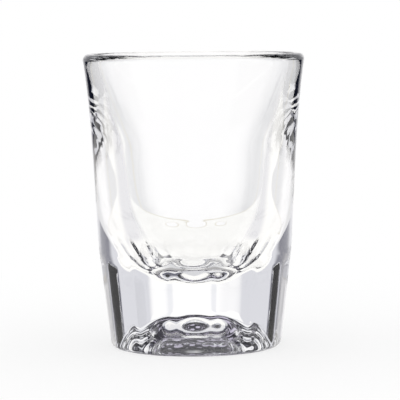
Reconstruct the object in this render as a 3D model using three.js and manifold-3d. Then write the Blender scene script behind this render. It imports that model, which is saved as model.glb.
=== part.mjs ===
// A small whiskey glass with a fluted base, pressed from one gob of clear soda-lime glass.
// Millimetres, +Z up. The origin is the centre of the foot ring, on the surface that the glass stands on.
// A flute faces -Y.

import * as THREE from 'three';
import { mergeVertices } from 'three/addons/utils/BufferGeometryUtils.js';
import Module from 'manifold-3d';

// Overall sizes
const HEIGHT = 73;
const RIM_RADIUS = 27.5;
const LIP_RADIUS = 1.5;

// The outside of the wall: nearly straight above the flutes, and flaring towards the rim
const WAIST_HEIGHT = 24;
const WAIST_RADIUS = 24.1;
const WAIST_LEAN = 4;
const WAIST_REACH = 10;
const RIM_LEAN = 8.5;
const RIM_REACH = 16.5;

// The base below the waist, a cone that narrows to the foot
const FOOT_RADIUS = 21.6;
const FOOT_ROUND = 1.5;

// The flutes, flat panels pressed around the base, each with an arched top that ends just below the waist
const FLUTE_COUNT = 14;
const FLUTE_DEPTH = 0.5;
const FLUTE_ARCH_RADIUS = 11;
const FLUTE_CROWN_GAP = 0.7;

// The underside: a flat ring that bears on the table, around a domed hollow
const RING_WIDTH = 5.4;
const DOME_HEIGHT = 9.7;
const DOME_MOUTH_ROUND = 1;

// The bowl: a shallow dish, a large round heel, a wall that opens up to a soft shoulder, and the mouth
const FLOOR_THICKNESS = 7;
const DISH_RISE = 1;
const HEEL_SPREAD = 2.6;
const HEEL_RADIUS = 11.4;
const HEEL_LEAN = 25;
const HEEL_REACH = 12;
const SHOULDER_HEIGHT = 52;
const SHOULDER_RADIUS = 19.5;
const SHOULDER_LEAN = 16;
const SHOULDER_REACH_DOWN = 12;
const SHOULDER_REACH_UP = 6;
const MOUTH_LEAN = 13;
const MOUTH_REACH = 12;

// How finely the round shapes are divided
const STEPS_PER_FLUTE = 4;
const LONG_CURVE_STEPS = 10;
const SHORT_CURVE_STEPS = 5;

// The flute cutters: how far they run past the glass, and how many degrees the arch turns outwards
const CUTTER_MARGIN = 2;
const CUTTER_SWEEP = 55;

// All angles above are in degrees
const radians = THREE.MathUtils.degToRad;

// A unit vector that leans outwards from straight up by an angle in degrees
function leaning(degrees) {
  return new THREE.Vector2(Math.sin(radians(degrees)), Math.cos(radians(degrees)));
}

// Points along an arc, both ends included
function arcPoints(centre, radius, startAngle, endAngle, steps) {
  const points = [];
  for (let step = 0; step <= steps; step += 1) {
    const angle = THREE.MathUtils.lerp(startAngle, endAngle, step / steps);
    points.push(new THREE.Vector2(Math.cos(angle), Math.sin(angle)).multiplyScalar(radius).add(centre));
  }
  return points;
}

// Points along a wall that leaves one point at one lean and reaches another point at another lean
function wallPoints(start, startLean, startReach, end, endLean, endReach, steps) {
  const startHandle = leaning(startLean).multiplyScalar(startReach).add(start);
  const endHandle = leaning(endLean).multiplyScalar(-endReach).add(end);
  return new THREE.CubicBezierCurve(start, startHandle, endHandle, end).getPoints(steps);
}

// The domed hollow from its crown down to the ring, with a rounded mouth
function domePoints() {
  const roundCentre = new THREE.Vector2(FOOT_RADIUS - FOOT_ROUND - RING_WIDTH, DOME_MOUTH_ROUND);
  const rise = DOME_HEIGHT * (DOME_HEIGHT - 2 * DOME_MOUTH_ROUND);
  const radius = (roundCentre.x ** 2 + rise) / (2 * DOME_HEIGHT);
  const centre = new THREE.Vector2(0, DOME_HEIGHT - radius);
  const meeting = roundCentre.clone().sub(centre).angle();
  const dome = arcPoints(centre, radius, Math.PI / 2, meeting, LONG_CURVE_STEPS);
  const mouth = arcPoints(roundCentre, DOME_MOUTH_ROUND, meeting + Math.PI, 1.5 * Math.PI, SHORT_CURVE_STEPS);
  return [...dome, ...mouth.slice(1)];
}

// How far the cone of the base leans outwards
function baseLean() {
  return Math.atan2(WAIST_RADIUS - FOOT_RADIUS, WAIST_HEIGHT - FOOT_ROUND);
}

// The rounded foot and the cone of the base, up to the waist
function basePoints() {
  const centre = new THREE.Vector2(FOOT_RADIUS - FOOT_ROUND, FOOT_ROUND);
  const foot = arcPoints(centre, FOOT_ROUND, -Math.PI / 2, -baseLean(), SHORT_CURVE_STEPS);
  return [...foot, new THREE.Vector2(WAIST_RADIUS, WAIST_HEIGHT)];
}

// The rounded lip, from the outside wall over its widest point and its crest to the inside of the mouth
function lipPoints() {
  const centre = new THREE.Vector2(RIM_RADIUS - LIP_RADIUS, HEIGHT - LIP_RADIUS);
  const below = arcPoints(centre, LIP_RADIUS, -radians(RIM_LEAN), 0, 1);
  const outer = arcPoints(centre, LIP_RADIUS, 0, Math.PI / 2, SHORT_CURVE_STEPS);
  const inner = arcPoints(centre, LIP_RADIUS, Math.PI / 2, Math.PI - radians(MOUTH_LEAN), SHORT_CURVE_STEPS);
  return [...below, ...outer.slice(1), ...inner.slice(1)];
}

// The outside wall from the waist, over the lip, to the inside of the mouth
function outsideAndLipPoints() {
  const lip = lipPoints();
  const waist = new THREE.Vector2(WAIST_RADIUS, WAIST_HEIGHT);
  const wall = wallPoints(waist, WAIST_LEAN, WAIST_REACH, lip[0], RIM_LEAN, RIM_REACH, LONG_CURVE_STEPS);
  return [...wall.slice(1), ...lip.slice(1)];
}

// The bowl from the middle of its floor up to the lip
function bowlPoints(mouth) {
  const floorHeight = DOME_HEIGHT + FLOOR_THICKNESS;
  const heelRise = DISH_RISE + HEEL_RADIUS;
  const heelCentre = new THREE.Vector2(HEEL_SPREAD, floorHeight + heelRise);
  const dishRadius = (HEEL_SPREAD ** 2 + heelRise ** 2 - HEEL_RADIUS ** 2) / (2 * DISH_RISE);
  const dishCentre = new THREE.Vector2(0, floorHeight + dishRadius);
  const meeting = Math.atan2(heelCentre.y - dishCentre.y, heelCentre.x);
  const dish = arcPoints(dishCentre, dishRadius, -Math.PI / 2, meeting, SHORT_CURVE_STEPS);
  const heel = arcPoints(heelCentre, HEEL_RADIUS, meeting, -radians(HEEL_LEAN), SHORT_CURVE_STEPS);
  const shoulder = new THREE.Vector2(SHOULDER_RADIUS, SHOULDER_HEIGHT);
  const lowerWall = wallPoints(
    heel.at(-1), HEEL_LEAN, HEEL_REACH, shoulder, SHOULDER_LEAN, SHOULDER_REACH_DOWN, LONG_CURVE_STEPS);
  const upperWall = wallPoints(
    shoulder, SHOULDER_LEAN, SHOULDER_REACH_UP, mouth, MOUTH_LEAN, MOUTH_REACH, LONG_CURVE_STEPS);
  return [...dish, ...heel.slice(1), ...lowerWall.slice(1), ...upperWall.slice(1)];
}

// The glass before its flutes: the whole profile turned around the axis
function blankGeometry() {
  const outside = [...domePoints(), ...basePoints(), ...outsideAndLipPoints()];
  const inside = bowlPoints(outside.at(-1)).reverse();
  const profile = [...outside, ...inside.slice(1)];
  profile[0].x = 0;
  profile.at(-1).x = 0;
  return new THREE.LatheGeometry(profile, STEPS_PER_FLUTE * FLUTE_COUNT).rotateX(Math.PI / 2);
}

// The height at which a flute stops being straight, so that its crown comes out just below the waist
function fluteStraightTop() {
  const archHeight = Math.sqrt(FLUTE_DEPTH * (2 * FLUTE_ARCH_RADIUS - FLUTE_DEPTH));
  return WAIST_HEIGHT - FLUTE_CROWN_GAP - archHeight;
}

// The side view of a flute cutter: a straight face that bends outwards into the arched top
function cutterShape() {
  const lean = baseLean();
  const straightTop = fluteStraightTop();
  const topRadius = WAIST_RADIUS - (WAIST_HEIGHT - straightTop) * Math.tan(lean) - FLUTE_DEPTH;
  const bottomRadius = topRadius - (straightTop + CUTTER_MARGIN) * Math.tan(lean);
  const outwards = new THREE.Vector2(Math.cos(lean), -Math.sin(lean));
  const archCentre = new THREE.Vector2(topRadius, straightTop).addScaledVector(outwards, FLUTE_ARCH_RADIUS);
  const startAngle = Math.PI - lean;
  const arch = arcPoints(
    archCentre, FLUTE_ARCH_RADIUS, startAngle, startAngle - radians(CUTTER_SWEEP), LONG_CURVE_STEPS);
  const innerBottom = new THREE.Vector2(bottomRadius, -CUTTER_MARGIN);
  const outerBottom = new THREE.Vector2(arch.at(-1).x, -CUTTER_MARGIN);
  return new THREE.Shape([innerBottom, ...arch, outerBottom]);
}

// A flute cutter in place, facing away from the axis at an angle around it
function cutterGeometry(angle) {
  const width = 2 * (WAIST_RADIUS * Math.tan(Math.PI / FLUTE_COUNT) + CUTTER_MARGIN);
  const geometry = new THREE.ExtrudeGeometry(cutterShape(), { depth: width, bevelEnabled: false });
  geometry.translate(0, 0, -width / 2);
  geometry.rotateX(Math.PI / 2);
  return geometry.rotateZ(angle);
}

// A solid made from a closed geometry, with its shared corners merged
function solidFrom(wasm, geometry) {
  const bare = new THREE.BufferGeometry();
  bare.setAttribute('position', geometry.getAttribute('position'));
  bare.setIndex(geometry.getIndex());
  const merged = mergeVertices(bare);
  const corners = Array.from(merged.getIndex().array);
  const triangles = [];
  for (let first = 0; first < corners.length; first += 3) {
    const triangle = corners.slice(first, first + 3);
    if (new Set(triangle).size === 3) {
      triangles.push(...triangle);
    }
  }
  const vertProperties = new Float32Array(merged.getAttribute('position').array);
  return new wasm.Manifold(new wasm.Mesh({ numProp: 3, vertProperties, triVerts: new Uint32Array(triangles) }));
}

// A geometry made from a solid
function geometryFrom(solid) {
  const mesh = solid.getMesh();
  const geometry = new THREE.BufferGeometry();
  geometry.setAttribute('position', new THREE.BufferAttribute(mesh.vertProperties, 3));
  geometry.setIndex(new THREE.BufferAttribute(mesh.triVerts, 1));
  geometry.computeVertexNormals();
  return geometry;
}

// The glass with its ring of flutes
function glassGeometry(wasm) {
  let glass = solidFrom(wasm, blankGeometry());
  for (let flute = 0; flute < FLUTE_COUNT; flute += 1) {
    const angle = (2 * Math.PI * flute) / FLUTE_COUNT - Math.PI / 2;
    glass = glass.subtract(solidFrom(wasm, cutterGeometry(angle)));
  }
  return geometryFrom(glass);
}

// Clear glass, shown nearly colourless
function clearGlass() {
  return new THREE.MeshStandardMaterial({
    color: 0xf2f6f6,
    roughness: 0.02,
    metalness: 0,
    transparent: true,
    opacity: 0.4,
  });
}

const wasm = await Module();
wasm.setup();

const glassBody = new THREE.Mesh(glassGeometry(wasm), clearGlass());
glassBody.name = 'glass_body';

const whiskeyGlass = new THREE.Group();
whiskeyGlass.add(glassBody);

export default whiskeyGlass;
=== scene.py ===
# %% [markdown]
# A fluted whiskey glass in clear pressed glass
#
# The object is one piece of soda-lime glass: a plunger and a fluted mould pressed it from a single
# gob. Everything that the eye sees in it is refraction and reflection, so the shape of both walls,
# the bowl, the flutes and the domed underside matters more than any colour.
#
# The packed CAD model comes first. It fixes where the glass stands and how large it is.

import math

import bpy
import bmesh
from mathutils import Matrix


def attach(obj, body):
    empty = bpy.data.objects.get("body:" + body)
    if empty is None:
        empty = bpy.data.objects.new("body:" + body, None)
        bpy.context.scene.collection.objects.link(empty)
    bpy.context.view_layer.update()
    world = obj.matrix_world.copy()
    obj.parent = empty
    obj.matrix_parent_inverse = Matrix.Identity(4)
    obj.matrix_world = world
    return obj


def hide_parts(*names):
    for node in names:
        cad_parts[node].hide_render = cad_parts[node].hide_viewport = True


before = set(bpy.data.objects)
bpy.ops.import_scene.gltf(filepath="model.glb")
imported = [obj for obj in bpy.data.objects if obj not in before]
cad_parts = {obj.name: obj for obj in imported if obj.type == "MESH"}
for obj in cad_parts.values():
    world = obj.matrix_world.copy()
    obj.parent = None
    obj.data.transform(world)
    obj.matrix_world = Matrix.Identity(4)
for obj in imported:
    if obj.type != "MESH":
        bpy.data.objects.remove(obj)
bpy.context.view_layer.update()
scene = bpy.context.scene
MM_PER_METRE = 1000


# %% [markdown]
# Sizes
#
# The glass follows from a short list of sizes, in millimetres and degrees, which are those of the
# CAD model. Only the ridges between the flutes differ: in the CAD model they are narrow flat lands,
# and here they are as soft as fire polishing leaves them.

# %% Sizes of the glass
HEIGHT = 73
RIM_RADIUS = 27.5
LIP_RADIUS = 1.5

WAIST_HEIGHT = 24
WAIST_RADIUS = 24.1
WAIST_LEAN = 4
WAIST_REACH = 10
RIM_LEAN = 8.5
RIM_REACH = 16.5

FOOT_RADIUS = 21.6
FOOT_ROUND = 1.5

FLUTE_COUNT = 14
FLUTE_DEPTH = 0.5
FLUTE_ARCH_RADIUS = 11
FLUTE_CROWN_GAP = 0.7
RIDGE_SOFTNESS = 0.4

RING_WIDTH = 5.4
DOME_HEIGHT = 9.7
DOME_MOUTH_ROUND = 1

FLOOR_THICKNESS = 7
DISH_RISE = 1
HEEL_SPREAD = 2.6
HEEL_RADIUS = 11.4
HEEL_LEAN = 25
HEEL_REACH = 12
SHOULDER_HEIGHT = 52
SHOULDER_RADIUS = 19.5
SHOULDER_LEAN = 16
SHOULDER_REACH_DOWN = 12
SHOULDER_REACH_UP = 6
MOUTH_LEAN = 13
MOUTH_REACH = 12

CONE_LEAN = math.atan2(WAIST_RADIUS - FOOT_RADIUS, WAIST_HEIGHT - FOOT_ROUND)
ARCH_HEIGHT = math.sqrt(FLUTE_DEPTH * (2 * FLUTE_ARCH_RADIUS - FLUTE_DEPTH))
STRAIGHT_TOP = WAIST_HEIGHT - FLUTE_CROWN_GAP - ARCH_HEIGHT
print(f"the flutes run straight up to {STRAIGHT_TOP:.2f} mm and arch out over {ARCH_HEIGHT:.2f} mm")

# %% [markdown]
# The camera
#
# The photograph looks at the glass from slightly above its rim, from about half a metre away. A
# flute faces the viewer's left by a degree and a half, so the camera moves round by that much and
# the glass stays as the CAD model has it. The foot sits three pixels to the right of the rim in the
# photograph, so the camera rolls by half a degree too.

# %% Camera, with its place in metres and its lens and sensor in millimetres
CAMERA_DISTANCE = 0.546
CAMERA_HEIGHT = 0.0836
CAMERA_TURN = math.radians(1.5)
CAMERA_PITCH = math.radians(4.9464)
CAMERA_YAW = math.radians(0.1822)
CAMERA_ROLL = math.radians(0.5)
CAMERA_LENS = 197.27
SENSOR_WIDTH = 36
FARTHEST_SEEN = 10

camera = bpy.data.objects.new("camera", bpy.data.cameras.new("camera"))
scene.collection.objects.link(camera)
scene.camera = camera
camera.data.lens = CAMERA_LENS
camera.data.sensor_width = SENSOR_WIDTH
camera.data.clip_end = FARTHEST_SEEN
camera.location = (
    CAMERA_DISTANCE * math.sin(CAMERA_TURN), -CAMERA_DISTANCE * math.cos(CAMERA_TURN), CAMERA_HEIGHT)
camera.rotation_euler = (math.pi / 2 - CAMERA_PITCH, CAMERA_ROLL, CAMERA_TURN - CAMERA_YAW)
print("camera at", [round(MM_PER_METRE * value, 1) for value in camera.location], "mm")

# %% [markdown]
# Node trees written as Python
#
# Both the shape and the finishes are node trees. This small class wraps a socket, so that a formula
# such as `1 - mask * 2` adds its own Math nodes. Every other kind of node comes from its method
# `node`, which takes the node's type, its settings and the values or links of its sockets.

# %% A socket that Python can calculate with
class Wire:
    """An output socket of a node tree, or only the tree while there is no socket."""

    def __init__(self, tree, socket=None):
        self.tree = tree
        self.socket = socket

    def node(self, kind, settings=None, values=None, output=0):
        made = self.tree.nodes.new(kind)
        for name, value in (settings or {}).items():
            setattr(made, name, value)
        for key, value in (values or {}).items():
            if isinstance(value, Wire):
                self.tree.links.new(value.socket, made.inputs[key])
            else:
                made.inputs[key].default_value = value
        return Wire(self.tree, made.outputs[output] if len(made.outputs) else None)

    def out(self, name):
        """Another output of the same node."""
        return Wire(self.tree, self.socket.node.outputs[name])

    def maths(self, operation, *others):
        return self.node("ShaderNodeMath", {"operation": operation}, dict(enumerate((self, *others))))

    def __add__(self, other):
        return self.maths("ADD", other)

    __radd__ = __add__

    def __sub__(self, other):
        return self.maths("SUBTRACT", other)

    def __rsub__(self, other):
        return (self * -1.0).maths("ADD", other)

    def __mul__(self, other):
        return self.maths("MULTIPLY", other)

    __rmul__ = __mul__

    def __truediv__(self, other):
        return self.maths("DIVIDE", other)

    def in_degrees(self):
        return self * (180 / math.pi)

    def smooth(self, low, high):
        """0 below low, 1 above high, and a soft step between them."""
        return self.node(
            "ShaderNodeMapRange", {"interpolation_type": "SMOOTHSTEP"}, {"Value": self, 1: low, 2: high})

    def between(self, start, end):
        """1 between two soft steps, which are up over the range start and down over the range end."""
        return self.smooth(*start) * (1 - self.smooth(*end))

    def clamped(self, low, high):
        return self.node("ShaderNodeClamp", None, {"Value": self, "Min": low, "Max": high})

    def blend(self, first, second):
        """The first colour where this is 0, and the second where it is 1."""
        return self.node("ShaderNodeMix", {"data_type": "RGBA"}, {0: self, 6: first, 7: second}, output=2)


print(Wire.__doc__)

# %% An empty tree for a material or the world
def empty_tree(block):
    """Start the node tree of a material or a world with no nodes."""
    block.use_nodes = True
    block.node_tree.nodes.clear()
    return Wire(block.node_tree)


print(empty_tree.__doc__)

# %% [markdown]
# The profile
#
# Cut the glass down its middle, and one side of the cut is its profile. It starts at the crown of
# the domed underside, runs over the foot, up the outside, over the lip, and down the bowl to the
# middle of its floor. Arcs for the rounds and smooth curves for the walls describe it exactly, so it
# could be drawn by hand as a curve, but worked out in code it stays tied to the sizes above.

# %% Arcs and walls
def arc(centre, radius, start, end, steps):
    """Points (radius, height) along an arc, both ends included."""
    points = []
    for step in range(steps + 1):
        angle = start + (end - start) * step / steps
        points.append((centre[0] + radius * math.cos(angle), centre[1] + radius * math.sin(angle)))
    return points


def leaning(point, degrees, reach):
    """The point that lies reach away from another, up a line that leans outwards."""
    lean = math.radians(degrees)
    return point[0] + reach * math.sin(lean), point[1] + reach * math.cos(lean)


def wall(start, start_handle, end_handle, end, steps):
    """Points along a Bezier curve, both ends included."""
    corners = (start, start_handle, end_handle, end)
    points = []
    for step in range(steps + 1):
        along = step / steps
        left = 1 - along
        weights = (left ** 3, 3 * along * left ** 2, 3 * along * along * left, along ** 3)
        radius = sum(weight * corner[0] for weight, corner in zip(weights, corners))
        height = sum(weight * corner[1] for weight, corner in zip(weights, corners))
        points.append((radius, height))
    return points


print("a quarter turn in two steps:", arc((0, 0), 1, 0, math.pi / 2, 2))

# %% The underside: a domed hollow with a rounded mouth, and the flat ring round it
DOME_STEPS = 26
DOME_MOUTH_STEPS = 7
RING_STEPS = 4

ring_edge = FOOT_RADIUS - FOOT_ROUND
round_centre = (ring_edge - RING_WIDTH, DOME_MOUTH_ROUND)
# The dome's radius is the one at which the dome and the round of its mouth just touch.
dome_radius = (
    round_centre[0] ** 2 + DOME_HEIGHT * (DOME_HEIGHT - 2 * DOME_MOUTH_ROUND)) / (2 * DOME_HEIGHT)
dome_centre = (0, DOME_HEIGHT - dome_radius)
dome_meeting = math.atan2(round_centre[1] - dome_centre[1], round_centre[0])
dome = arc(dome_centre, dome_radius, math.pi / 2, dome_meeting, DOME_STEPS)
dome_mouth = arc(
    round_centre, DOME_MOUTH_ROUND, dome_meeting + math.pi, 1.5 * math.pi, DOME_MOUTH_STEPS)[1:]
ring = [(round_centre[0] + RING_WIDTH * step / RING_STEPS, 0) for step in range(1, RING_STEPS)]
underside = dome + dome_mouth + ring
print(f"{len(underside)} points on the underside, with a dome of radius {dome_radius:.2f} mm")

# %% The foot, and the cone above it that carries the flutes
FOOT_STEPS = 6
STRAIGHT_STEPS = 12
ARCH_STEPS = 16

foot = arc((ring_edge, FOOT_ROUND), FOOT_ROUND, -math.pi / 2, -CONE_LEAN, FOOT_STEPS)
foot_top = foot[-1]


def cone_points(bottom, top, steps):
    """Points up the cone between two heights, without the one at the bottom."""
    points = []
    for step in range(1, steps + 1):
        height = bottom + (top - bottom) * step / steps
        share = (height - foot_top[1]) / (WAIST_HEIGHT - foot_top[1])
        points.append((foot_top[0] + share * (WAIST_RADIUS - foot_top[0]), height))
    return points


cone = cone_points(foot_top[1], STRAIGHT_TOP, STRAIGHT_STEPS)
cone += cone_points(STRAIGHT_TOP, WAIST_HEIGHT, ARCH_STEPS)
print(len(foot), "points on the foot and", len(cone), "on the cone")

# %% The lip in three arcs, so that a point lies where it is widest and another where it is highest
LIP_STEPS = (2, 10, 10)

lip_centre = (RIM_RADIUS - LIP_RADIUS, HEIGHT - LIP_RADIUS)
lip_turns = (-math.radians(RIM_LEAN), 0, math.pi / 2, math.pi - math.radians(MOUTH_LEAN))
lip_arcs = [arc(lip_centre, LIP_RADIUS, *part) for part in zip(lip_turns, lip_turns[1:], LIP_STEPS)]
lip_start = lip_arcs[0][0]
lip = [point for points in lip_arcs for point in points[1:]]
print(len(lip), "points on the lip")

# %% The flaring wall between the waist and the lip
OUTSIDE_WALL_STEPS = 36

waist = cone[-1]
outside_wall = wall(
    waist, leaning(waist, WAIST_LEAN, WAIST_REACH),
    leaning(lip_start, RIM_LEAN, -RIM_REACH), lip_start, OUTSIDE_WALL_STEPS)[1:]
print(len(outside_wall), "points on the outside wall")

# %% The floor of the bowl: a shallow dish and a large round heel
DISH_STEPS = 8
HEEL_STEPS = 24

floor_height = DOME_HEIGHT + FLOOR_THICKNESS
heel_rise = DISH_RISE + HEEL_RADIUS
dish_radius = (HEEL_SPREAD ** 2 + heel_rise ** 2 - HEEL_RADIUS ** 2) / (2 * DISH_RISE)
heel_centre = (HEEL_SPREAD, floor_height + heel_rise)
dish_centre = (0, floor_height + dish_radius)
heel_meeting = math.atan2(heel_centre[1] - dish_centre[1], heel_centre[0])
dish = arc(dish_centre, dish_radius, -math.pi / 2, heel_meeting, DISH_STEPS)
heel = arc(heel_centre, HEEL_RADIUS, heel_meeting, -math.radians(HEEL_LEAN), HEEL_STEPS)[1:]
print(f"the dish has a radius of {dish_radius:.1f} mm, and the heel ends {heel[-1][1]:.1f} mm up")

# %% The wall of the bowl up to its soft shoulder, and the band from there up to the mouth
BOWL_WALL_STEPS = 30
BOWL_BAND_STEPS = 24

heel_end, shoulder, mouth = heel[-1], (SHOULDER_RADIUS, SHOULDER_HEIGHT), lip[-1]
bowl_wall = wall(
    heel_end, leaning(heel_end, HEEL_LEAN, HEEL_REACH),
    leaning(shoulder, SHOULDER_LEAN, -SHOULDER_REACH_DOWN), shoulder, BOWL_WALL_STEPS)[1:]
bowl_band = wall(
    shoulder, leaning(shoulder, SHOULDER_LEAN, SHOULDER_REACH_UP),
    leaning(mouth, MOUTH_LEAN, -MOUTH_REACH), mouth, BOWL_BAND_STEPS)[1:-1]
bowl = (dish + heel + bowl_wall + bowl_band)[::-1]
print(len(bowl), "points in the bowl")

# %% How much the bowl holds
CUBIC_MM_PER_ML = 1000


def slice_volume(above, below):
    """Volume of the slice between two points of the profile, in cubic millimetres."""
    return math.pi * (above[1] - below[1]) * (above[0] ** 2 + above[0] * below[0] + below[0] ** 2) / 3


capacity = sum(slice_volume(above, below) for above, below in zip([mouth] + bowl, bowl))
print(f"the bowl holds {capacity / CUBIC_MM_PER_ML:.1f} ml up to its mouth at {mouth[1]:.1f} mm")

# %% One open line of points, with a mark on those of the outside
outside = foot + cone + outside_wall
profile_points = underside + outside + lip + bowl
profile = bpy.data.meshes.new("profile")
profile.from_pydata(
    [(radius / MM_PER_METRE, 0, height / MM_PER_METRE) for radius, height in profile_points],
    [(row, row + 1) for row in range(len(profile_points) - 1)], [])
outside_mark = profile.attributes.new("outside", "FLOAT", "POINT")
outside_mark.data.foreach_set(
    "value", [0.0] * len(underside) + [1.0] * len(outside) + [0.0] * (len(lip) + len(bowl)))
print(len(profile_points), "points in the profile")

# %% [markdown]
# The glass as a rule
#
# A lathe alone can't make this glass, because its base has flutes: flat panels that end in arches
# under the waist. They could be cut with booleans, as in the CAD model, but the cut edges would be
# sharp and would shade badly. Here one rule gives every point instead. Each row of a grid takes one
# point of the profile, each column one angle, and where the flat panel lies inside the round body, a
# soft minimum of the two radii gives the panel and its rounded ridges at once.
#
# Pressed glass is never perfect either. A slow noise moves the bowl and the dome by about a hundredth
# of a millimetre, and a finer and weaker one ripples all walls, which bends the refracted lines and
# streaks the dark ones as the real surface does.

# %% The tree and its named inputs, with lengths in metres
STEPS_PER_FLUTE = 28
UNEVENNESS = 0.03
WAVINESS = 0.01
SEED = 3.0

tree = bpy.data.node_groups.new("pressed glass", "GeometryNodeTree")
tree.interface.new_socket("Geometry", in_out="INPUT", socket_type="NodeSocketGeometry")
tree.interface.new_socket("Geometry", in_out="OUTPUT", socket_type="NodeSocketGeometry")
lengths_in_mm = {
    "Waist radius": WAIST_RADIUS, "Waist height": WAIST_HEIGHT, "Straight top": STRAIGHT_TOP,
    "Flute depth": FLUTE_DEPTH, "Arch radius": FLUTE_ARCH_RADIUS, "Ridge softness": RIDGE_SOFTNESS,
    "Unevenness": UNEVENNESS, "Waviness": WAVINESS}
settings = {name: length / MM_PER_METRE for name, length in lengths_in_mm.items()}
settings["Flutes"] = FLUTE_COUNT
settings["Steps per flute"] = STEPS_PER_FLUTE
settings["Cone slope"] = math.tan(CONE_LEAN)
settings["Seed"] = SEED
identifiers = {}
for name, value in settings.items():
    kind = "NodeSocketInt" if isinstance(value, int) else "NodeSocketFloat"
    identifiers[name] = tree.interface.new_socket(name, in_out="INPUT", socket_type=kind).identifier
maker = Wire(tree)
line = maker.node("NodeGroupInput", output="Geometry")
size = {name: line.out(name) for name in settings}
print(len(size), "named inputs")

# %% A grid with a row for each point of the profile, and its rows and columns by index
rows = maker.node("GeometryNodeAttributeDomainSize", None, {"Geometry": line})
columns = size["Flutes"] * size["Steps per flute"] + 1
grid = maker.node("GeometryNodeMeshGrid", None, {"Vertices X": rows, "Vertices Y": columns})
index = maker.node("GeometryNodeInputIndex")
row = ((index + 0.5) / columns).maths("FLOOR")
column = index - row * columns
print(len(profile_points), "rows and", FLUTE_COUNT * STEPS_PER_FLUTE + 1, "columns")

# %% The point of the profile that each row takes
def of_row(value, kind):
    """What the profile's point of this row holds."""
    return maker.node(
        "GeometryNodeSampleIndex", {"data_type": kind}, {"Geometry": line, "Value": value, "Index": row})


place = maker.node("GeometryNodeInputPosition")
mark = maker.node("GeometryNodeInputNamedAttribute", {"data_type": "FLOAT"}, {"Name": "outside"})
row_outside = of_row(mark, "FLOAT")
body_radius = maker.node("ShaderNodeSeparateXYZ", None, {0: of_row(place, "FLOAT_VECTOR")})
height = body_radius.out("Z")
print(len(tree.nodes), "nodes so far")

# %% The angle of each column, closer together at the ridges than in the middle of a flute
ROUNDING_MARGIN = 0.0001

turn = column / size["Steps per flute"]
flute = (turn + ROUNDING_MARGIN).maths("FLOOR")
across = 2 * (turn - flute) - 1
half_flute = size["Flutes"].maths("POWER", -1.0) * math.pi
offset = (across * (math.pi / 2)).maths("SINE") * half_flute
angle = 2 * half_flute * flute + offset - math.pi / 2
print(f"each flute spans {360 / FLUTE_COUNT:.1f} degrees")

# %% How far the flat panel lies from the axis, and the soft minimum of two panels and the body
def soft_minimum(first, second, softness):
    """The smaller of two lengths, with a round of this softness where they cross."""
    share = (0.5 + 0.5 * (first - second) / softness).clamped(0.0, 1.0)
    return first + (second - first) * share - softness * share * (1 - share)


above = height - size["Straight top"]
arched = above.maths("MAXIMUM", 0.0)
panel_start = size["Waist radius"] - (size["Waist height"] - size["Straight top"]) * size["Cone slope"]
arch = arched * arched / (2 * size["Arch radius"])
panel = panel_start - size["Flute depth"] + above * size["Cone slope"] + arch
next_offset = 2 * half_flute - offset.maths("ABSOLUTE")
panel_radius = panel / offset.maths("COSINE")
next_radius = panel / next_offset.maths("COSINE")
rounded_radius = soft_minimum(next_radius, panel_radius, size["Ridge softness"])
fluted_radius = soft_minimum(body_radius, rounded_radius, size["Ridge softness"])
glass_radius = body_radius + (fluted_radius - body_radius) * row_outside
print(len(tree.nodes), "nodes with the flutes")

# %% Noise in space, the same on every run
NOISE_DETAIL = 1.0
NOISE_ROUGHNESS = 0.4

cosine, sine = angle.maths("COSINE"), angle.maths("SINE")


def turned(radius, height):
    """The place at this radius and height, turned round the axis by the column's angle."""
    return maker.node("ShaderNodeCombineXYZ", None, {"X": radius * cosine, "Y": radius * sine, "Z": height})


even_place = turned(glass_radius, height)


def noise(seed, scale):
    """Noise between -0.5 and 0.5 that changes about scale times in a metre."""
    return maker.node("ShaderNodeTexNoise", {"noise_dimensions": "4D"}, {
        "Vector": even_place, "W": seed, "Scale": scale,
        "Detail": NOISE_DETAIL, "Roughness": NOISE_ROUGHNESS}) - 0.5


print(noise.__doc__)

# %% The slow unevenness of the bowl and the dome, none near the rim and the foot
# A soft step runs from one height, or distance from the axis, to another, all in metres.
SLOW_SCALE = 95.0
SLOW_START, SLOW_END = (0.002, 0.006), (0.055, 0.068)
OFF_AXIS = (0.0, 0.004)

inside = (1 - row_outside) * height.between(SLOW_START, SLOW_END)
slow_wave = noise(size["Seed"], SLOW_SCALE) * inside * size["Unevenness"]
slow_outwards = slow_wave * body_radius.smooth(*OFF_AXIS)
uneven_height = height + slow_wave
print("up to", UNEVENNESS / 2, "mm of slow unevenness")

# %% The fine waves of all walls, stronger in the upper part, none at the rim and the foot
FINE_SCALE = 280.0
SEED_STEP = 5.0
FINE_START, FINE_END = (0.001, 0.004), (0.069, 0.072)
UPPER_PART = (0.026, 0.04)

strength = 0.5 + 0.5 * height.smooth(*UPPER_PART)
on_walls = strength * height.between(FINE_START, FINE_END)
fine_wave = noise(size["Seed"] + SEED_STEP, FINE_SCALE) * on_walls * size["Waviness"]
uneven_radius = glass_radius + slow_outwards + fine_wave
print("up to", WAVINESS / 2, "mm of fine waves")

# %% Close the seam and the two poles, and finish the mesh
MERGE_DISTANCE = 1e-6

glass_place = turned(uneven_radius, uneven_height)
moved = maker.node("GeometryNodeSetPosition", None, {"Geometry": grid, "Position": glass_place})
closed = maker.node("GeometryNodeMergeByDistance", None, {"Geometry": moved, "Distance": MERGE_DISTANCE})
smooth_shaded = maker.node("GeometryNodeSetShadeSmooth", None, {"Geometry": closed})
real = maker.node("GeometryNodeRealizeInstances", None, {"Geometry": smooth_shaded})
print(len(tree.nodes), "nodes in all but the last two")

# %% [markdown]
# The finish
#
# Soda-lime glass has a refractive index of 1.52 and hardly any colour. A perfect shader would look
# computed, though. On the real glass the fire-polished skin ripples very slightly, and the foot ring
# is scuffed where it slides on the bar, so the bump and the roughness vary over the surface while
# the transmission stays full.

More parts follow.
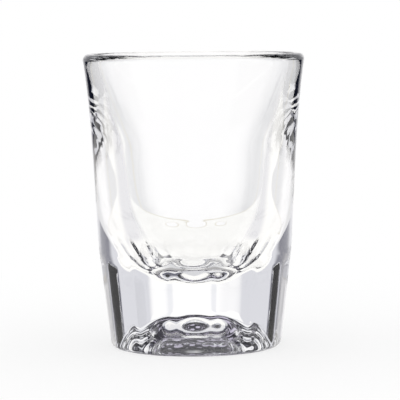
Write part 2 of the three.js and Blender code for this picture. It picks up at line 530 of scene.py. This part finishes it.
# %% Scuffs on the foot ring, and the ripple of the whole skin
SCUFF_SCALE = 1400.0
SCUFF_DETAIL = 4.0
SCUFF_EDGE = (0.42, 0.62)
WEAR_HEIGHT = 0.0006
RIPPLE_SCALE = 160.0
RIPPLE_DETAIL = 1.0
RIPPLE_STRENGTH = 0.06
RIPPLE_DISTANCE = 0.0004

clear_glass = bpy.data.materials.new("clear_glass")
shader = empty_tree(clear_glass)
surface_place = shader.node("ShaderNodeTexCoord", output="Object")
surface_height = shader.node("ShaderNodeSeparateXYZ", None, {0: surface_place}, output="Z")
scuffs = shader.node(
    "ShaderNodeTexNoise", None, {"Vector": surface_place, "Scale": SCUFF_SCALE, "Detail": SCUFF_DETAIL})
ring_wear = (1 - surface_height.smooth(0.0, WEAR_HEIGHT)) * scuffs.smooth(*SCUFF_EDGE)
ripple = shader.node(
    "ShaderNodeTexNoise", None, {"Vector": surface_place, "Scale": RIPPLE_SCALE, "Detail": RIPPLE_DETAIL})
bump = shader.node(
    "ShaderNodeBump", None, {"Strength": RIPPLE_STRENGTH, "Distance": RIPPLE_DISTANCE, "Height": ripple})
print("scuffs up to", WEAR_HEIGHT * MM_PER_METRE, "mm above the table")

# %% Clear pressed glass
GLASS_INDEX = 1.52
GLASS_TINT = (0.985, 0.99, 0.99, 1)
POLISHED_ROUGHNESS = 0.004
SCUFFED_ROUGHNESS = 0.22

principled = shader.node("ShaderNodeBsdfPrincipled", None, {
    "Base Color": GLASS_TINT, "Transmission Weight": 1.0, "IOR": GLASS_INDEX,
    "Roughness": POLISHED_ROUGHNESS + SCUFFED_ROUGHNESS * ring_wear, "Normal": bump})
shader.node("ShaderNodeOutputMaterial", None, {"Surface": principled})
print("glass finish with", len(shader.tree.nodes), "nodes")

# %% End the tree with the material, run it and keep a plain mesh
finished = maker.node("GeometryNodeSetMaterial", None, {"Geometry": real, "Material": clear_glass})
maker.node("NodeGroupOutput", None, {"Geometry": finished})
rule = bpy.data.objects.new("rule", profile)
scene.collection.objects.link(rule)
modifier = rule.modifiers.new("pressed glass", "NODES")
modifier.node_group = tree
for name, value in settings.items():
    modifier[identifiers[name]] = value
graph = bpy.context.evaluated_depsgraph_get()
glass_mesh = bpy.data.meshes.new_from_object(rule.evaluated_get(graph))
rule.modifiers.remove(modifier)
bpy.data.objects.remove(rule)
glass = bpy.data.objects.new("glass", glass_mesh)
scene.collection.objects.link(glass)
print(len(glass_mesh.vertices), "points in the glass")

# %% Turn its faces outwards and measure it
ML_PER_CUBIC_METRE = 1e6
GLASS_DENSITY = 2.5

shape = bmesh.new()
shape.from_mesh(glass_mesh)
if shape.calc_volume(signed=True) < 0:
    bmesh.ops.reverse_faces(shape, faces=shape.faces)
open_edges = sum(not edge.is_manifold for edge in shape.edges)
volume = shape.calc_volume(signed=True) * ML_PER_CUBIC_METRE
triangles = sum(len(face.verts) - 2 for face in shape.faces)
shape.to_mesh(glass_mesh)
shape.free()
print(f"glass: {triangles} triangles and {open_edges} open edges")
print(f"{volume:.2f} ml of glass, which is {volume * GLASS_DENSITY:.0f} g")

# %% It stands in for the CAD node and rides on the only body
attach(glass, "root")
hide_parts("glass_body")
print(glass.name, "stands in for glass_body")

# %% [markdown]
# The studio
#
# Clear glass is photographed against the light, and what the eye sees in it is the set around it, bent
# by the glass. A bright panel stands behind. Its middle, a little taller than the rest, lights the bowl
# and the front of the base, and its cooler outer parts light the flutes beside them. Dark flags at its
# ends draw the sides of the base, and dark cards above them reach further round on the left, so that
# the right side of the base comes out a little darker. The room above the panel is dark, apart from
# lamps under the ceiling, which the domed underside shows, and a dark gap under the outer parts of the
# panel fills the top of both sides.
#
# A few lamps and cards could be placed as objects, but they would show in the image and light the
# table. Here the world plays the set for the rays that leave the glass, and is white to the camera.
# The panel is a little brighter than white, because the four glass surfaces of the bowl reflect about
# a sixth of its light away.

# %% Colours of the set
PANEL = (1.085, 1.07, 1.07, 1)
SEAM = (0.9, 0.9, 0.93, 1)
PANEL_SIDE = (0.71, 0.71, 0.755, 1)
FLAGS = (0.13, 0.13, 0.17, 1)
ROOM = (0.74, 0.74, 0.78, 1)
UNDER_PANEL = (0.03, 0.035, 0.065, 1)
DARK = (0.01, 0.01, 0.015, 1)
CEILING = (0.03, 0.028, 0.04, 1)
CEILING_LAMPS = (0.56, 0.52, 0.64, 1)
WHITE = (1, 1, 1, 1)
print("panel", PANEL[:3], "and room", ROOM[:3])

# %% Each direction as degrees away from the panel's middle and above the horizon
world = bpy.data.worlds.new("studio")
scene.world = world
sky = empty_tree(world)
direction = sky.node("ShaderNodeTexCoord", output="Generated")
east = sky.node("ShaderNodeSeparateXYZ", None, {0: direction})
north, up = east.out("Y"), east.out("Z")
azimuth = east.maths("ARCTAN2", north).maths("ABSOLUTE").in_degrees()
elevation = up.maths("ARCSINE").in_degrees()
print(len(sky.tree.nodes), "nodes for the directions")

# %% The panel, with a seam on both sides of its middle and cooler outer parts
# A soft step runs from one angle to another, all in degrees.
SEAM_START, SEAM_END = (2.5, 5.5), (9.0, 12.0)
PANEL_FADE = (11.0, 22.0)
PANEL_END = (45.0, 52.0)

seam = azimuth.between(SEAM_START, SEAM_END)
panel_light = azimuth.smooth(*PANEL_FADE).blend(PANEL, PANEL_SIDE)
bright_panel = seam.blend(panel_light, SEAM)
print(len(sky.tree.nodes), "nodes with the panel")

# %% The flags and cards at its ends, and the lighter room beside and in front
FLAGS_END = (64.0, 76.0)
CARDS_BOTTOM = (4.0, 8.0)
CARDS_END = (84.0, 92.0)
LEFT_CARD_EXTRA = 32.0
LEFT_TO_RIGHT = (-0.1, 0.1)

left_side = 1 - east.smooth(*LEFT_TO_RIGHT)
cards_reach = 1 - (azimuth - LEFT_CARD_EXTRA * left_side).smooth(*CARDS_END)
cards = elevation.smooth(*CARDS_BOTTOM) * cards_reach
flags_or_room = (azimuth.smooth(*FLAGS_END) * (1 - cards)).blend(FLAGS, ROOM)
horizon = azimuth.smooth(*PANEL_END).blend(bright_panel, flags_or_room)
print(len(sky.tree.nodes), "nodes with the horizon")

# %% The dark gap under the outer panel, and the dark room above it
GAP_START, GAP_END = (20.0, 28.0), (60.0, 72.0)
GAP_TOP = (-4.5, -3.5)
PANEL_TOP = (24.0, 30.0)
MIDDLE_EXTRA = 12.0
MIDDLE_END = (25.0, 40.0)

under_panel = azimuth.between(GAP_START, GAP_END) * (1 - elevation.smooth(*GAP_TOP))
low_part = under_panel.blend(horizon, UNDER_PANEL)
taller_middle = MIDDLE_EXTRA * (1 - azimuth.smooth(*MIDDLE_END))
dark_room = (elevation - taller_middle).smooth(*PANEL_TOP).blend(low_part, DARK)
print(len(sky.tree.nodes), "nodes with the room")

# %% The lamps, in rows under the ceiling
LAMP_FREQUENCY = 11.0
LAMP_EDGE = (0.1, 0.5)
CEILING_EDGE = (46.0, 54.0)

lamps = (east * LAMP_FREQUENCY).maths("SINE") * (north * LAMP_FREQUENCY).maths("SINE")
ceiling = lamps.smooth(*LAMP_EDGE).blend(CEILING, CEILING_LAMPS)
set_colour = elevation.smooth(*CEILING_EDGE).blend(dark_room, ceiling)
print(len(sky.tree.nodes), "nodes with the ceiling")

# %% White to the camera, and the set to the rays that glass passes on
def passed_on(start):
    """1 for a ray that glass bends or reflects, and 0 for others, such as those from the camera."""
    bent = start.node("ShaderNodeLightPath", output="Is Transmission Ray")
    return bent.maths("MAXIMUM", bent.out("Is Glossy Ray"))


background = sky.node("ShaderNodeBackground", None, {"Color": passed_on(sky).blend(WHITE, set_colour)})
sky.node("ShaderNodeOutputWorld", None, {"Surface": background})
print(len(sky.tree.nodes), "nodes in the world")

# %% [markdown]
# The table
#
# A deep round bowl is a strong lens, and through it the viewer sees the table rather than the panel.
# To the rays that leave the glass, the table shows painted light and shade as a glow. Near the glass
# it glows cream, a painted warm light a little brighter than white. Further back it carries the
# panel's light as a painted patch with a tan border, and that border, bent by the bowl, is the curved
# contour that hangs in the bowl's middle. The wings beside the glass are painted in a cooler, dimmer
# light, the front is painted darker as shade, and a painted shaded ring under the foot gives the
# strokes round the bowl's floor.
#
# An image could carry this painted light and shade as well. A formula of the place on the table is
# shorter and stays sharp. To the camera the table is white and shows only the shadow of the glass.

# %% A round table just under the foot
TABLE_RADIUS = 0.6
TABLE_GAP = 0.00002
TABLE_SIDES = 96

table_mesh = bpy.data.meshes.new("table")
disc = bmesh.new()
bmesh.ops.create_circle(disc, cap_ends=True, segments=TABLE_SIDES, radius=TABLE_RADIUS)
bmesh.ops.translate(disc, verts=disc.verts, vec=(0, 0, -TABLE_GAP))
disc.to_mesh(table_mesh)
disc.free()
table = bpy.data.objects.new("table", table_mesh)
scene.collection.objects.link(table)
print("a table", 2 * TABLE_RADIUS, "m across")

# %% Colours of the light and shade painted on the table
# All of these are painted light and shade, which the table shows as a glow to the rays that leave the
# glass: a cream glow near the glass brighter than white, a dimmer pale grey light, the tan edge of the
# panel's light, a cooler light on the wings, shade in front and shade under the foot.
PAINTED_CREAM_GLOW = (1.07, 1.055, 1.03, 1)
PAINTED_PALE_GREY_LIGHT = (0.82, 0.815, 0.825, 1)
BORDER = (0.84, 0.80, 0.70, 1)
WINGS = (0.83, 0.82, 0.84, 1)
FRONT = (0.72, 0.72, 0.74, 1)
SHADE = (0.45, 0.44, 0.44, 1)
print("cream", PAINTED_CREAM_GLOW[:3], "and pale grey", PAINTED_PALE_GREY_LIGHT[:3])

# %% Each place by how far it is behind the glass and away from it, and by its turn from straight behind
table_white = bpy.data.materials.new("table_white")
table_tree = empty_tree(table_white)
spot = table_tree.node("ShaderNodeTexCoord", output="Object")
across_table = table_tree.node("ShaderNodeSeparateXYZ", None, {0: spot})
behind = across_table.out("Y")
distance = (across_table * across_table + behind * behind).maths("SQRT")
table_turn = across_table.maths("ARCTAN2", behind).in_degrees()
print(len(table_tree.tree.nodes), "nodes for the place")

# %% The panel's light on the table: bright in the middle, pale grey beside it, with the seams far back
# Turns are in degrees and distances in metres.
LIGHT_MIDDLE = -2.0
LIGHT_FADE = (11.0, 31.0)
SEAMS_FRONT = (0.49, 0.53)

far_seam = table_turn.maths("ABSOLUTE").between(SEAM_START, SEAM_END) * distance.smooth(*SEAMS_FRONT)
light_turn = (table_turn - LIGHT_MIDDLE).maths("ABSOLUTE")
patch_light = light_turn.smooth(*LIGHT_FADE).blend(far_seam.blend(PANEL, SEAM), PAINTED_PALE_GREY_LIGHT)
print(len(table_tree.tree.nodes), "nodes with the panel's light")

# %% The patch that this painted light fills, and its border, on the table's painted cream glow
PATCH_MIDDLE = 3.0
PATCH_SIDES = (33.0, 35.5)
PATCH_FRONT = (0.087, 0.091)
PAINTED_CREAM_GLOW_END = (0.087, 0.093)

side_turn = (table_turn - PATCH_MIDDLE).maths("ABSOLUTE")
patch = behind.smooth(*PATCH_FRONT) * (1 - side_turn.smooth(*PATCH_SIDES))
# Outside the patch the table shows painted light: the cream glow near the glass and the dimmer pale grey
# light further back.
outside_patch = behind.smooth(*PAINTED_CREAM_GLOW_END).blend(PAINTED_CREAM_GLOW, PAINTED_PALE_GREY_LIGHT)
# The border, a tan edge painted along the patch of light, is strongest where the patch is half there.
border = 4 * patch * (1 - patch)
near_or_far = border.blend(patch.blend(outside_patch, patch_light), BORDER)
print(len(table_tree.tree.nodes), "nodes with the patch")

# %% The painted cooler light of the wings, the painted shade in front and the painted shaded ring under the foot
WINGS_TURN = (50.0, 65.0)
WINGS_DISTANCE = (0.03, 0.05)
FRONT_TURN = (110.0, 140.0)
SHADE_INNER, SHADE_OUTER = (0.0138, 0.0145), (0.0165, 0.0180)

# The wings beside the glass are painted in a cooler light, the front in shade, and the ring under the foot
# in a darker shade.
wings = side_turn.smooth(*WINGS_TURN) * distance.smooth(*WINGS_DISTANCE)
with_wings = wings.blend(near_or_far, WINGS)
with_front = side_turn.smooth(*FRONT_TURN).blend(with_wings, FRONT)
painted_light_and_shade = distance.between(SHADE_INNER, SHADE_OUTER).blend(with_front, SHADE)
print(len(table_tree.tree.nodes), "nodes with the pattern")

# %% White with a faint shadow to the camera
SHADOW_SHARE = 0.28
SHADOW_FADE = (0.03, 0.16)
TABLE_PAINT = (0.95, 0.95, 0.95, 1)

plain = table_tree.node("ShaderNodeBsdfDiffuse", None, {"Color": TABLE_PAINT})
glow = table_tree.node("ShaderNodeEmission", None, {"Color": WHITE})
glow_share = (1 - SHADOW_SHARE) + SHADOW_SHARE * distance.smooth(*SHADOW_FADE)
shown = table_tree.node("ShaderNodeMixShader", None, {0: glow_share, 1: plain, 2: glow})
print("the shadow takes at most", SHADOW_SHARE, "of the white")

# %% The painted light and shade to the rays that glass passes on
# The table glows with this painted light and shade, though it is no lamp.
lit = table_tree.node("ShaderNodeEmission", None, {"Color": painted_light_and_shade})
table_look = table_tree.node("ShaderNodeMixShader", None, {0: passed_on(table_tree), 1: shown, 2: lit})
table_tree.node("ShaderNodeOutputMaterial", None, {"Surface": table_look})
table_mesh.materials.append(table_white)
print(len(table_tree.tree.nodes), "nodes in the table's material")

# %% [markdown]
# The end
#
# The image keeps its colours as they are written. Light that is reflected inside thick glass again and
# again comes out weak in the real glass, whose body and skin take some of it each time. Here the path
# ends after eight reflections instead, which leaves dark strips with light streaks at the top of both
# sides.

# %% View transform and reflections
REFLECTIONS = 8

scene.view_settings.view_transform = "Standard"
scene.cycles.glossy_bounces = REFLECTIONS
